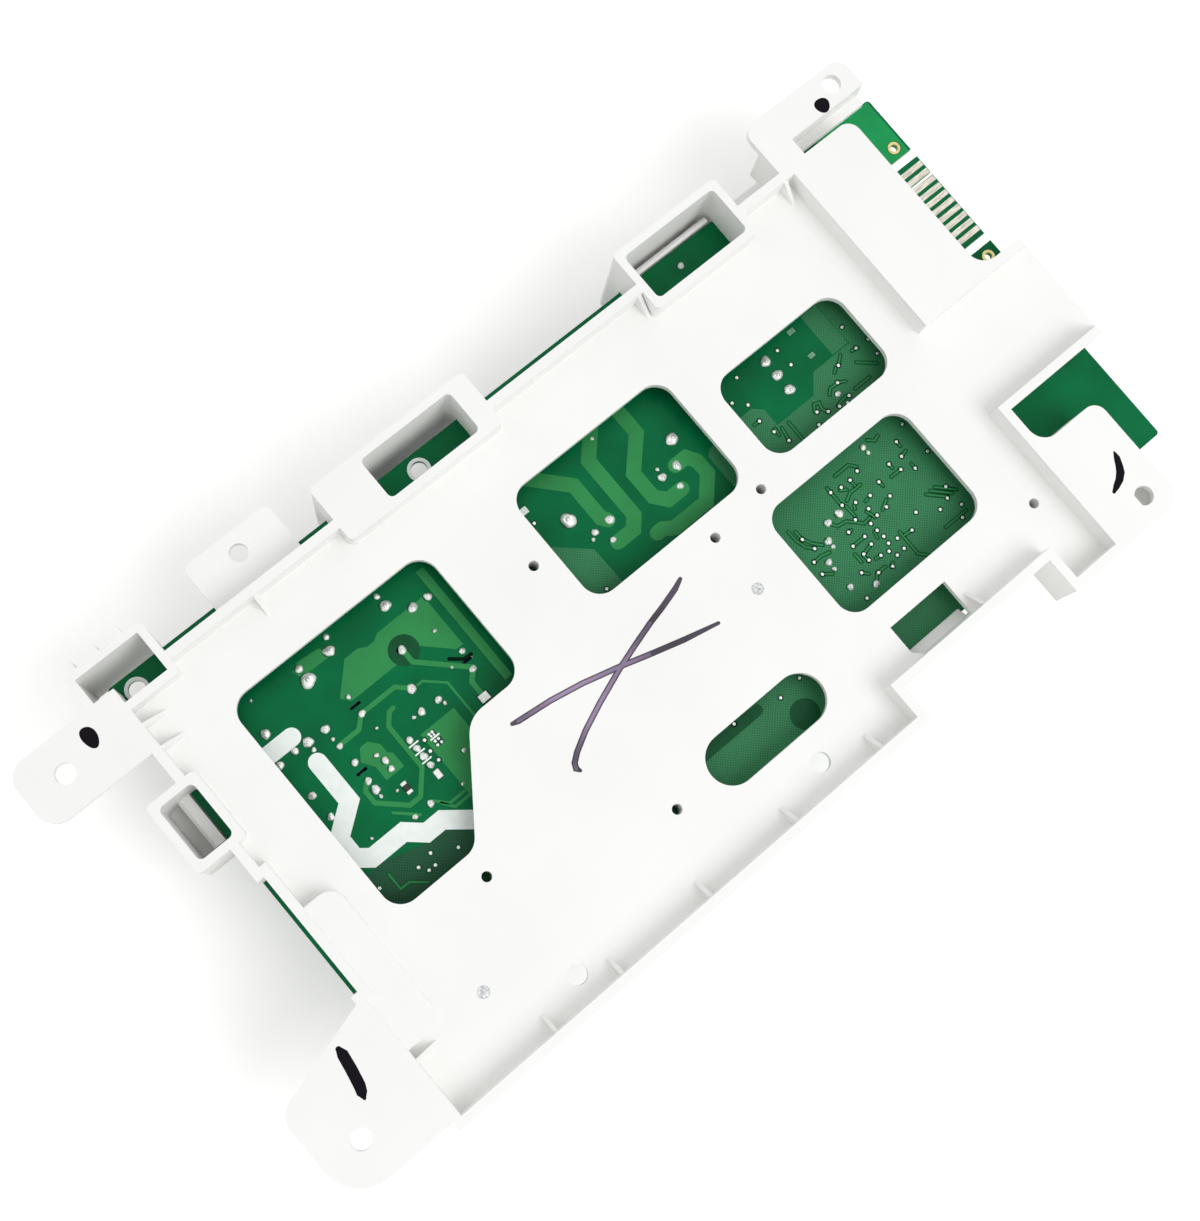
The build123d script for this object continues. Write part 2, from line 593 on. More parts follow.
WING_MIDDLE = (WING_TOP + WING_BOTTOM) / 2
WING_SPAN = WING_TOP - WING_BOTTOM + 2 * WALL
POCKETS = (CORNER_POCKET, LEFT_POCKET, MIDDLE_POCKET, RIGHT_POCKET)
CORNER_INSIDE = shrunk(CORNER_POCKET, POCKET_WALL)
LEFT_INSIDE = shrunk(LEFT_POCKET, POCKET_WALL)
RIGHT_INSIDE = shrunk(RIGHT_POCKET, POCKET_WALL)
MIDDLE_INSIDE = (*MIDDLE_POCKET_OPENING, *shrunk(MIDDLE_POCKET, POCKET_WALL)[2:])
EDGE_X = LEFT_EDGE - EDGE_GAP
EDGE_Y = TOP_EDGE + EDGE_GAP

with BuildPart() as tray:
    # rim wall, and the walls of the clip pockets
    with BuildSketch(level(TOP)) as walls:
        tray_outline()
        offset(amount=-WALL, kind=Kind.INTERSECTION, mode=Mode.SUBTRACT)
        for pocket in POCKETS:
            soft_bay(*pocket)
        for rib_x in POCKET_RIBS:
            bay(rib_x - POCKET_RIB_WIDTH / 2, rib_x + POCKET_RIB_WIDTH / 2,
                CORNER_POCKET[3], CORNER_POCKET[3] + POCKET_RIB_REACH)
    extrude(amount=RIM - TOP)
    # outside the board's edge the pockets go on down: the left one to its clip, the others
    # past the board as an apron
    with BuildSketch(level(CLIP_LOW)):
        soft_bay(*LEFT_POCKET)
        Rectangle(-2 * EDGE_X, 2 * EDGE_Y, mode=Mode.SUBTRACT)
    extrude(amount=TOP - CLIP_LOW)
    with BuildSketch(level(POCKET_FOOT)):
        for pocket in (CORNER_POCKET, MIDDLE_POCKET, RIGHT_POCKET):
            soft_bay(*pocket)
        for rib_x in POCKET_RIBS:
            bay(rib_x - POCKET_RIB_WIDTH / 2, rib_x + POCKET_RIB_WIDTH / 2,
                CORNER_POCKET[3], CORNER_POCKET[3] + POCKET_RIB_REACH)
        Rectangle(-2 * EDGE_X, 2 * EDGE_Y, mode=Mode.SUBTRACT)
    extrude(amount=TOP - POCKET_FOOT)

    # back panel, the wing over the board's right edge, and the side tab
    with BuildSketch(level(PANEL_IN)):
        tray_outline()
        bay(RECESS_RIGHT, WING_END, WING_BOTTOM - WALL, WING_TOP + WALL)
        bay(*SIDE_TAB, RIM_TOP - WALL, SIDE_TAB_REACH - SIDE_TAB_CORNER)
        with Locations(((SIDE_TAB[0] + SIDE_TAB[1]) / 2, SIDE_TAB_REACH - WALL)):
            RectangleRounded(SIDE_TAB[1] - SIDE_TAB[0], 2 * WALL, SIDE_TAB_CORNER)
        bay(CORNER_TAB_ROOT, CORNER_TAB[1], CORNER_LEDGE, CORNER_TAB_FLOOR + WALL)
    extrude(amount=PANEL_THICKNESS)

    # raised corners at the right
    raised_corner(upper_flange(), FLANGE_LEFT, FLANGE_RIGHT - WALL, WING_TOP + WALL,
                  RIM_TOP - WALL)
    raised_corner(lower_flange(), FLANGE_LEFT, FLANGE_RIGHT - WALL, RIM_BOTTOM + WALL,
                  CONNECTOR_FLOOR - WALL)
    block(RECESS_RIGHT, WING_WALL_END, WING_BOTTOM - WALL, WING_BOTTOM, TOP, RIM)
    for wall_y in (WING_TOP + WALL / 2, WING_BOTTOM - WALL / 2):
        plate(upright(WING_WALL_END, wall_y, (1, 0)), (
            (-WALL, TOP), (WING_END - WING_WALL_END, TOP),
            (WING_END - WING_WALL_END, PANEL_OUT), (0, RIM), (-WALL, RIM)), WALL)

    # corner tab, carried at rim level by a wall along the board's top edge
    with BuildSketch(level(FLANGE_IN)) as corner_tab:
        with BuildLine():
            Polyline((CORNER_TAB_ROOT, RIM_TOP - WALL), (CORNER_TAB[0], RIM_TOP - WALL),
                     (CORNER_TAB[0], CORNER_TAB_FLOOR), (CORNER_TAB[1], CORNER_TAB_FLOOR),
                     (CORNER_TAB[1], SIDE_TAB_REACH), (CORNER_TAB_ROOT, SIDE_TAB_REACH),
                     close=True)
        make_face()
        fillet(corner_tab.vertices().group_by(Axis.Y)[-1], CORNER_SOFT)
    extrude(amount=FLANGE_THICKNESS)
    block(CORNER_TAB_ROOT, CORNER_TAB[1], CORNER_TAB_FLOOR, CORNER_TAB_FLOOR + WALL,
          PANEL_IN, RIM)
    for wall_x in (CORNER_TAB_ROOT, CORNER_TAB[0] - WALL):
        block(wall_x, wall_x + WALL, RIM_TOP - WALL, CORNER_TAB_FLOOR + WALL, TOP, RIM)

    # fixing tabs at the left, level with the rim
    with BuildSketch(level(FLANGE_IN)) as upper_tab:
        bay(TAB_END, RIM_LEFT + WALL, UPPER_TAB_Y - UPPER_TAB_WIDTH / 2,
            UPPER_TAB_Y + UPPER_TAB_WIDTH / 2)
        fillet(upper_tab.vertices().group_by(Axis.X)[0], UPPER_TAB_CORNER)
    extrude(amount=FLANGE_THICKNESS)
    with BuildSketch(level(FLANGE_IN)) as lower_tab:
        with BuildLine():
            Polyline((RIM_LEFT + WALL, LOWER_TAB_ROOT), (RIM_LEFT, LOWER_TAB_ROOT),
                     (TAB_END, LOWER_TAB_SLOPE_END),
                     (TAB_END, LOWER_TAB_Y - TAB_END_RADIUS),
                     (RIM_LEFT + WALL, LOWER_TAB_Y - TAB_END_RADIUS), close=True)
        make_face()
        ends = lower_tab.vertices().group_by(Axis.X)[0].sort_by(Axis.Y)
        fillet(ends[0], TAB_END_RADIUS)
        fillet(lower_tab.vertices().group_by(Axis.X)[0].sort_by(Axis.Y)[-1], CORNER_WIDE)
    extrude(amount=FLANGE_THICKNESS)

    # ledge over the board's top edge, from the last pocket to the corner tab
    block(RIGHT_POCKET[1] - POCKET_WALL, CORNER_TAB_ROOT + WALL, RIM_TOP - WALL / 2,
          TOP_EDGE + LEDGE_REACH, TOP, TOP + LEDGE_THICKNESS)

    # hollow pad beside the left wall
    pad_left, pad_right = RIM_LEFT + WALL, RIM_LEFT + WALL + PAD_WIDTH
    with BuildSketch(level(PANEL_IN)) as pad:
        bay(pad_left, pad_right, *PAD_ENDS)
        fillet(pad.vertices().group_by(Axis.X)[-1], PAD_CORNER)
    extrude(amount=PANEL_THICKNESS + PAD_HEIGHT)
    block(pad_left + LEFT_JOG, pad_right - WALL, PAD_ENDS[0] + WALL, PAD_ENDS[1] - WALL,
          PANEL_IN, PANEL_OUT + PAD_HEIGHT - FLANGE_THICKNESS, mode=Mode.SUBTRACT)

    # bosses that the board lies on
    with BuildSketch(level(TOP)):
        with Locations(*SCREW_POINTS, *SPARE_BOSSES):
            Circle(BOSS_DIAMETER / 2)
    extrude(amount=BOSS_HEIGHT)

    # windows
    with BuildSketch(level(PANEL_IN)) as cranked_window:
        bend = (WINDOW_BEND_TOP, WINDOW_SHELF)
        with BuildLine():
            Polyline((WINDOW_LEFT, WINDOW_TOP), (WINDOW_RIGHT, WINDOW_TOP),
                     (WINDOW_RIGHT, WINDOW_SHELF), bend,
                     (WINDOW_BEND_BOTTOM, WINDOW_BOTTOM), (WINDOW_LEFT, WINDOW_BOTTOM),
                     close=True)
        make_face()
        fillet(cranked_window.vertices().sort_by_distance(bend)[1:], WINDOW_CORNER)
        fillet(cranked_window.vertices().sort_by_distance(bend)[0], WINDOW_BEND_RADIUS)
    extrude(amount=PANEL_THICKNESS, mode=Mode.SUBTRACT)
    with BuildSketch(level(PANEL_IN)):
        for x, y, length, width in PLAIN_WINDOWS:
            with Locations((x, y)):
                RectangleRounded(length, width, WINDOW_CORNER)
        with Locations(SLOT_CENTRE):
            SlotOverall(SLOT_LENGTH, SLOT_WIDTH)
    extrude(amount=PANEL_THICKNESS, mode=Mode.SUBTRACT)
    with BuildSketch(level(PANEL_IN)) as clip_window:
        bay(*CLIP_WINDOW, SHALLOW_BOTTOM + WALL, CLIP_WINDOW_TOP)
        chamfer(clip_window.vertices().sort_by(Axis.X)[:2].sort_by(Axis.Y)[0],
                CLIP_WINDOW_CUT)
    extrude(amount=PANEL_THICKNESS, mode=Mode.SUBTRACT)

    # the recess opens on the wing
    block(RECESS_RIGHT, FLANGE_LEFT, WING_BOTTOM, WING_TOP, PANEL_OUT, RIM,
          mode=Mode.SUBTRACT)

    # insides of the pockets, open to the board; the tab closes one corner of the first
    for inside in (LEFT_INSIDE, MIDDLE_INSIDE, RIGHT_INSIDE):
        with BuildSketch(level(POCKET_FOOT)) as hollow:
            soft_bay(*inside)
        extrude(hollow.sketch, amount=RIM - POCKET_FOOT, mode=Mode.SUBTRACT)
    corner_left, corner_right, corner_low, corner_high = CORNER_INSIDE
    tab_top = UPPER_TAB_Y + UPPER_TAB_WIDTH / 2
    block(pad_left, corner_right, corner_low, corner_high, POCKET_FOOT, RIM,
          mode=Mode.SUBTRACT)
    block(corner_left, pad_left, tab_top, corner_high, POCKET_FOOT, RIM,
          mode=Mode.SUBTRACT)
    # the block of the middle pocket is hollow from below at both sides of its opening
    for x_from, x_to in ((MIDDLE_POCKET[0], MIDDLE_INSIDE[0]),
                         (MIDDLE_INSIDE[1], MIDDLE_POCKET[1])):
        block(x_from + POCKET_WALL, x_to - POCKET_WALL, *MIDDLE_INSIDE[2:], POCKET_FOOT,
              FLANGE_IN, mode=Mode.SUBTRACT)

    # ribs in the corner between the panel and the walls
    for rib_x in DUCT_RIBS:
        gusset(rib_x, RIM_BOTTOM + WALL, (0, 1), GUSSET_LENGTH)
    for rib_x in TOP_RIBS:
        gusset(rib_x, RIM_TOP - WALL, (0, -1), GUSSET_LENGTH)
    for rib_y in LEFT_RIBS:
        gusset(pad_left, rib_y, (1, 0), LONG_GUSSET)
    gusset(CLIP_WINDOW[1] + 2 * RIB_THICKNESS, SHALLOW_BOTTOM + WALL, (0, 1), GUSSET_LENGTH)

    # clips on the board's left, top and bottom edges, and the catch under the wing
    half_wall = POCKET_WALL / 2
    clip(LEFT_EDGE, LEFT_INSIDE[2] + CLIP_SLIT, LEFT_INSIDE[3], (-1, 0),
         LEFT_EDGE - LEFT_INSIDE[0] + half_wall, LEFT_CLIP_THICKNESS)
    clip(TOP_EDGE, RIGHT_INSIDE[0], RIGHT_INSIDE[1] - CLIP_SLIT, (0, 1),
         RIGHT_INSIDE[3] - TOP_EDGE + half_wall, CLIP_THICKNESS)
    catch = UNDER - CLIP_CLEARANCE
    plate(upright((CLIP_WINDOW[0] + CLIP_WINDOW[1]) / 2, BOTTOM_EDGE, (0, -1)), (
        (EDGE_GAP, CLIP_LOW), (SHALLOW_WIDTH, CLIP_LOW), (SHALLOW_WIDTH, PANEL_IN),
        (SHALLOW_WIDTH - WALL, PANEL_IN - WEDGE_DROP), (EDGE_GAP, TOP + CLIP_THICKNESS),
        (EDGE_GAP, catch), (-CLIP_BARB, catch), (-CLIP_BARB, catch - CLIP_THICKNESS / 2),
        (EDGE_GAP, catch - CLIP_LEAD)), CLIP_WINDOW[1] - CLIP_WINDOW[0])
    block(RIGHT_EDGE + EDGE_GAP, WING_END, WING_BOTTOM - WALL, WING_TOP + WALL, CLIP_LOW,
          PANEL_IN)
    plate(upright(RIGHT_EDGE, WING_MIDDLE, (1, 0)), (
        (EDGE_GAP + CLIP_THICKNESS, catch), (-CLIP_BARB, catch),
        (-CLIP_BARB, catch - CLIP_THICKNESS / 2),
        (EDGE_GAP + CLIP_THICKNESS, catch - CLIP_LEAD)), CLIP_WIDTH)

    # holes: bosses, the bottom channel, and the fixing tabs
    for x, y in SPARE_BOSSES:
        bore(x, y, PANEL_OUT, PILOT_HOLE, PANEL_OUT - TOP)
    for x, y in SCREW_POINTS:
        bore(x, y, PANEL_OUT, SCREW_DIAMETER, PANEL_OUT - TOP)
    for x, y in DUCT_HOLES:
        bore(x, y, PANEL_OUT, DUCT_HOLE, PANEL_THICKNESS)
    bore(*SIDE_TAB_HOLE, PANEL_OUT, SIDE_TAB_HOLE_SIZE, PANEL_THICKNESS)
    for x, y in ((TAB_HOLE_X, UPPER_TAB_Y), (TAB_HOLE_X, LOWER_TAB_Y), CORNER_TAB_HOLE,
                 FOOT_TAB_HOLE):
        bore(x, y, RIM, TAB_HOLE, FLANGE_THICKNESS)
write(tray, "tray")

with BuildPart() as board_screws:
    for x, y in SCREW_POINTS:
        with BuildSketch(level(UNDER - SCREW_HEAD_HEIGHT)) as head:
            with Locations((x, y)):
                Circle(SCREW_HEAD / 2)
        extrude(amount=SCREW_HEAD_HEIGHT)
        with BuildSketch(level(UNDER)):
            with Locations((x, y)):
                Circle(SCREW_DIAMETER / 2 - THREAD_FIT)
        extrude(amount=PANEL_OUT - UNDER)
        with BuildSketch(level(UNDER - SCREW_HEAD_HEIGHT)):
            with Locations((x, y)):
                Rectangle(RECESS_LENGTH, RECESS_WIDTH)
                Rectangle(RECESS_WIDTH, RECESS_LENGTH)
        extrude(amount=RECESS_DEPTH, mode=Mode.SUBTRACT)
    rims = board_screws.edges().filter_by(GeomType.CIRCLE).group_by(Axis.Z)[0]
    fillet(rims.filter_by(lambda edge: edge.radius > SCREW_DIAMETER / 2), RECESS_WIDTH)
write(board_screws, "board_screws")


# ================================================================== capacitors
def can(node):
    """Aluminium can: rounded closed end, rolled bead, rubber bung against the board."""
    place, diameter, height = CANS[node]
    radius = diameter / 2
    low = UNDER - height
    seat = UNDER - CAN_BUNG
    bead = seat - CAN_BEAD
    neck = radius - CAN_GROOVE
    with BuildPart() as piece:
        with BuildSketch(upright(*place, (1, 0))) as half:
            with BuildLine():
                Polyline((0, UNDER), (0, low), (radius, low), (radius, bead - CAN_GROOVE))
                Spline((radius, bead - CAN_GROOVE), (neck, bead), (radius, bead + CAN_GROOVE),
                       tangents=((0, 1), (0, 1)))
                Polyline((radius, bead + CAN_GROOVE), (radius, seat), (neck, seat),
                         (neck, UNDER), (0, UNDER))
            make_face()
            fillet(half.vertices().sort_by_distance((radius, low))[0], CAN_TRIM)
        revolve(axis=Axis(spot(*place, 0), (0, 0, 1)))
    write(piece, node)


def disc(node):
    """Lacquered disc on its edge, with two leads up to the board."""
    diameter, thickness = DISCS[node]
    first, second = PINS[node]
    x, y = middle(first, second)
    centre = UNDER - DISC_STANDOFF - diameter / 2
    with BuildPart() as piece:
        with BuildSketch(upright(x, y, (0, 1))):
            with Locations((0, centre)):
                Circle(diameter / 2)
        extrude(amount=thickness / 2, both=True)
        fillet(piece.edges().filter_by(GeomType.CIRCLE), thickness / 2 - DISC_FLAT)
        posts((first, second), LEAD, centre, UNDER)
    write(piece, node)


def film_box(node):
    """Moulded film capacitor with soft edges, on two leads."""
    length, width, height = FILM_BOXES[node]
    first, second = PINS[node]
    size = (length, width) if first[1] == second[1] else (width, length)
    with BuildPart() as piece:
        with BuildSketch(level(UNDER - height)):
            with Locations(middle(first, second)):
                Rectangle(*size)
        extrude(amount=height - FILM_FOOT)
        fillet(piece.edges().filter_by(Axis.Z), FILM_EDGE)
        fillet(piece.faces().sort_by(Axis.Z)[0].edges(), FILM_EDGE / 2)
        posts((first, second), LEAD, UNDER - FILM_FOOT, UNDER)
    write(piece, node)


for node in CANS:
    can(node)
for node in DISCS:
    disc(node)
for node in FILM_BOXES:
    film_box(node)


# ================================================================== relays and housings
def relay(node):
    """Sealed relay: drawn cover with soft edges on a base plate."""
    x, y = RELAYS[node]
    with BuildPart() as piece:
        with BuildSketch(level(UNDER - RELAY_HEIGHT)):
            with Locations((x, y)):
                RectangleRounded(RELAY_LENGTH, RELAY_WIDTH, RELAY_EDGE)
        extrude(amount=RELAY_HEIGHT - RELAY_BASE)
        fillet(piece.faces().sort_by(Axis.Z)[0].edges(), RELAY_EDGE)
        with BuildSketch(level(UNDER - RELAY_BASE)):
            with Locations((x, y)):
                RectangleRounded(RELAY_LENGTH - RELAY_BASE, RELAY_WIDTH - RELAY_BASE,
                                 RELAY_EDGE)
        extrude(amount=RELAY_BASE)
    write(piece, node)


def header(node):
    """Open housing, its mouth away from the board, with a keying slot and a hole for
    each pin in its floor."""
    (x, y), along, count, pitch, length, width, height = HEADERS[node]
    size = (length, width) if along == "x" else (width, length)
    inner = (size[0] - 2 * SHELL_WALL, size[1] - 2 * SHELL_WALL)
    key = (SHELL_KEY, 2 * SHELL_WALL) if along == "x" else (2 * SHELL_WALL, SHELL_KEY)
    side = (x, y + width / 2) if along == "x" else (x + width / 2, y)
    with BuildPart() as piece:
        with BuildSketch(level(UNDER - height)):
            with Locations((x, y)):
                RectangleRounded(*size, SHELL_WALL / 2)
        extrude(amount=height)
        with BuildSketch(level(UNDER - height)):
            with Locations((x, y)):
                Rectangle(*inner)
            with Locations(side):
                Rectangle(*key)
        extrude(amount=height - SHELL_FLOOR, mode=Mode.SUBTRACT)
        posts(header_pins_of(node), PIN, UNDER - SHELL_FLOOR, UNDER, mode=Mode.SUBTRACT)
    write(piece, node)


for node in RELAYS:
    relay(node)
for node in HEADERS:
    header(node)

with BuildPart() as header_pins:
    for node in HEADERS:
        mouth = UNDER - HEADERS[node][-1]
        posts(header_pins_of(node), PIN, mouth + PIN_BELOW_MOUTH, UNDER)
write(header_pins, "header_pins")


# ================================================================== heat sink, transistors
SINK_LEFT, SINK_RIGHT = SINK_X - SINK_LENGTH / 2, SINK_X + SINK_LENGTH / 2
TAB_HOLE_Z = UNDER - LEAD_LIFT - TRANSISTOR_REACH + TRANSISTOR_BORE_INSET
SINK_MIDDLE_PINS = (PINS["triac_1"][1], PINS["triac_2"][1])


def transistor(node, back, pins, lift):
    """Three-lead power device with a metal tab, its back at y = back."""
    x = pins[1][0]
    top = UNDER - lift
    left, right = x - TRANSISTOR_WIDTH / 2, x + TRANSISTOR_WIDTH / 2
    root = back - TRANSISTOR_LEAD
    half = LEAD / 2
    with BuildPart() as piece:
        block(left, right, back - TRANSISTOR_THICKNESS, back, top - TRANSISTOR_BODY, top)
        chamfer(piece.faces().sort_by(Axis.Y)[0].edges(), TRANSISTOR_CHAMFER)
        block(left, right, back - TRANSISTOR_TAB, back, top - TRANSISTOR_REACH,
              top - TRANSISTOR_BODY)
        with Locations(Plane(origin=spot(x, back - TRANSISTOR_TAB,
                                         top - TRANSISTOR_REACH + TRANSISTOR_BORE_INSET),
                             z_dir=(0, -1, 0))):
            Hole(TRANSISTOR_BORE / 2, depth=TRANSISTOR_TAB)
        for pin_x, pin_y in pins:
            bend = top + (UNDER - top) / 3
            step = top + 2 * (UNDER - top) / 3
            plate(upright(pin_x, 0, (0, 1)), (
                (root - half, top), (root + half, top), (root + half, bend),
                (pin_y + half, step), (pin_y + half, UNDER), (pin_y - half, UNDER),
                (pin_y - half, step), (root - half, bend)), LEAD)
    write(piece, node)


transistor("triac_1", SINK_FACE, PINS["triac_1"], LEAD_LIFT)
transistor("triac_2", SINK_FACE, PINS["triac_2"], LEAD_LIFT)
regulator_x, regulator_back = REGULATOR_AT
regulator_row = regulator_back - TRANSISTOR_LEAD
transistor("voltage_regulator", regulator_back,
           [(regulator_x + i * TRANSISTOR_PITCH, regulator_row) for i in (-1, 0, 1)],
           LEAD_LIFT / 2)

with BuildPart() as heat_sink:
    sink_back = SINK_FACE + SINK_PLATE
    with BuildSketch(level(0)):
        bay(SINK_LEFT, SINK_RIGHT, SINK_FACE, sink_back)
        fin_pitch = (SINK_LENGTH - SINK_FIN) / (SINK_FINS - 1)
        for i in range(SINK_FINS):
            fin_x = SINK_LEFT + i * fin_pitch
            bay(fin_x, fin_x + SINK_FIN, sink_back, sink_back + SINK_REACH)
    extrude(amount=UNDER - SINK_STAND)
    for leg_x, leg_y in PINS["heat_sink"]:
        block(leg_x - SINK_LEG / 2, leg_x + SINK_LEG / 2, leg_y - SINK_LEG / 4,
              leg_y + SINK_LEG / 4, UNDER - SINK_STAND, UNDER)
    for pin_x, pin_y in SINK_MIDDLE_PINS:
        with Locations(Plane(origin=spot(pin_x, SINK_FACE, TAB_HOLE_Z), z_dir=(0, -1, 0))):
            Hole(SINK_SCREW / 2, depth=SINK_PLATE)
write(heat_sink, "heat_sink")

with BuildPart() as heat_sink_screws:
    tab_face = SINK_FACE - TRANSISTOR_TAB
    for pin_x, pin_y in SINK_MIDDLE_PINS:
        face = Plane(origin=spot(pin_x, tab_face, TAB_HOLE_Z), z_dir=(0, -1, 0))
        with BuildSketch(face):
            Circle(SINK_SCREW_HEAD / 2)
        extrude(amount=SINK_SCREW_HEAD * 0.4)
        with BuildSketch(face):
            Circle(SINK_SCREW / 2 - THREAD_FIT)
        extrude(amount=-(TRANSISTOR_TAB + SINK_PLATE))
        with BuildSketch(face.offset(SINK_SCREW_HEAD * 0.4)):
            Rectangle(RECESS_LENGTH, RECESS_WIDTH)
            Rectangle(RECESS_WIDTH, RECESS_LENGTH)
        extrude(amount=-RECESS_DEPTH, mode=Mode.SUBTRACT)
write(heat_sink_screws, "heat_sink_screws")

# ================================================================== transformer
core_x, core_y = TRANSFORMER_AT
leg_hole = (CORE_LEG + 2 * BOBBIN_CLEARANCE, CORE_STACK + 2 * BOBBIN_CLEARANCE)
tube = (leg_hole[0] + 2 * BOBBIN_WALL, leg_hole[1] + 2 * BOBBIN_WALL)
bobbin_width = CORE_WIDTH - 2 * CORE_YOKE - 2 * BOBBIN_CLEARANCE
bobbin_low = CORE_YOKE + BOBBIN_CLEARANCE
bobbin_high = CORE_HEIGHT - CORE_YOKE - BOBBIN_CLEARANCE

with BuildPart() as transformer_core:
    with BuildSketch(upright(core_x, core_y, (1, 0))):
        with Locations((0, CORE_HEIGHT / 2)):
            Rectangle(CORE_WIDTH, CORE_HEIGHT)
            Rectangle(CORE_WIDTH - 2 * CORE_YOKE, CORE_HEIGHT - 2 * CORE_YOKE,
                      mode=Mode.SUBTRACT)
            Rectangle(CORE_LEG, CORE_HEIGHT)
    extrude(amount=CORE_STACK / 2, both=True)
write(transformer_core, "transformer_core")

with BuildPart() as transformer_bobbin:
    rail_y = BOBBIN_DEPTH / 2 - RAIL_WIDTH / 2
    block(core_x - tube[0] / 2, core_x + tube[0] / 2, core_y - tube[1] / 2,
          core_y + tube[1] / 2, bobbin_low, bobbin_high)
    for z in (bobbin_low, bobbin_high - FLANGE_SHEET):
        with BuildSketch(level(z)):
            with Locations(TRANSFORMER_AT):
                RectangleRounded(bobbin_width, BOBBIN_DEPTH, FLANGE_SHEET)
        extrude(amount=FLANGE_SHEET)
    for side in (-1, 1):
        with BuildSketch(level(bobbin_high)):
            with Locations((core_x, core_y + side * rail_y)):
                Rectangle(bobbin_width, RAIL_WIDTH)
        extrude(amount=UNDER - bobbin_high)
    block(core_x - leg_hole[0] / 2, core_x + leg_hole[0] / 2, core_y - leg_hole[1] / 2,
          core_y + leg_hole[1] / 2, bobbin_low, bobbin_high, mode=Mode.SUBTRACT)
write(transformer_bobbin, "transformer_bobbin")

with BuildPart() as transformer_winding:
    with BuildSketch(level(bobbin_low + FLANGE_SHEET)):
        with Locations(TRANSFORMER_AT):
            RectangleRounded(bobbin_width - FLANGE_SHEET, BOBBIN_DEPTH - 2 * FLANGE_SHEET,
                             WINDING_CORNER)
            Rectangle(*tube, mode=Mode.SUBTRACT)
    extrude(amount=bobbin_high - bobbin_low - 2 * FLANGE_SHEET)
write(transformer_winding, "transformer_winding")

# ================================================================== mains side
base_low = UNDER - CHOKE_BASE_THICKNESS
band_low = base_low - CHOKE_RING_HEIGHT - 2 * CHOKE_WIRE
with BuildPart() as choke_base:
    with BuildSketch(level(base_low)):
        with Locations(CHOKE_AT):
            RectangleRounded(CHOKE_BASE, CHOKE_BASE, CHOKE_WIRE)
    extrude(amount=CHOKE_BASE_THICKNESS)
write(choke_base, "choke_base")

with BuildPart() as choke_core:
    with BuildSketch(level(band_low + CHOKE_WIRE)):
        with Locations(CHOKE_AT):
            Circle(CHOKE_RING / 2)
            Circle(CHOKE_BORE / 2, mode=Mode.SUBTRACT)
    extrude(amount=CHOKE_RING_HEIGHT)
write(choke_core, "choke_core")

with BuildPart() as choke_winding:
    with BuildSketch(level(band_low)) as bands:
        with Locations(CHOKE_AT):
            Circle(CHOKE_RING / 2 + CHOKE_WIRE)
            Circle(CHOKE_BORE / 2 - CHOKE_WIRE, mode=Mode.SUBTRACT)
        half_angle = math.radians(CHOKE_BAND / 2)
        reach = CHOKE_RING
        for side in (-1, 1):
            with Locations(CHOKE_AT):
                with BuildLine(mode=Mode.PRIVATE) as gap:
                    Polyline((0, 0), (reach * math.cos(half_angle),
                                      side * reach * math.sin(half_angle)),
                             (-reach * math.cos(half_angle),
                              side * reach * math.sin(half_angle)), close=True)
                make_face(gap.edges(), mode=Mode.SUBTRACT)
    extrude(amount=CHOKE_RING_HEIGHT + 2 * CHOKE_WIRE)
    with BuildSketch(level(band_low + CHOKE_WIRE)):
        with Locations(CHOKE_AT):
            Circle(CHOKE_RING / 2)
            Circle(CHOKE_BORE / 2, mode=Mode.SUBTRACT)
    extrude(amount=CHOKE_RING_HEIGHT, mode=Mode.SUBTRACT)
write(choke_winding, "choke_winding")

fuse_x, fuse_y = middle(*PINS["fuse"])
fuse_z = UNDER - FUSE_STAND
with BuildPart() as fuse:
    with BuildSketch(Plane(origin=spot(fuse_x, fuse_y, fuse_z), z_dir=(0, 1, 0))):
        Circle(FUSE_GLASS / 2)
    extrude(amount=FUSE_LENGTH / 2, both=True)
    for side in (-1, 1):
        cap_y = fuse_y + side * (FUSE_LENGTH - FUSE_CAP_LENGTH) / 2
        with BuildSketch(Plane(origin=spot(fuse_x, cap_y, fuse_z), z_dir=(0, 1, 0))):
            Circle(FUSE_CAP / 2)
        extrude(amount=FUSE_CAP_LENGTH / 2, both=True)
write(fuse, "fuse")

with BuildPart() as fuse_clips:
    inner, outer = FUSE_CAP / 2, FUSE_CAP / 2 + CLIP_METAL
    clip_low = fuse_z - inner
    for side, pin in zip((-1, 1), PINS["fuse"]):
        clip_y = fuse_y + side * (FUSE_LENGTH - FUSE_CAP_LENGTH) / 2
        with BuildSketch(upright(fuse_x, clip_y, (1, 0))):
            with Locations((0, (clip_low + UNDER) / 2)):
                Rectangle(2 * outer, UNDER - clip_low)
                Rectangle(2 * inner, UNDER - clip_low - 2 * CLIP_METAL, mode=Mode.SUBTRACT)
            with Locations((0, clip_low)):
                Rectangle(2 * inner, 2 * CLIP_METAL, mode=Mode.SUBTRACT)
        extrude(amount=CLIP_LONG / 2, both=True)
write(fuse_clips, "fuse_clips")

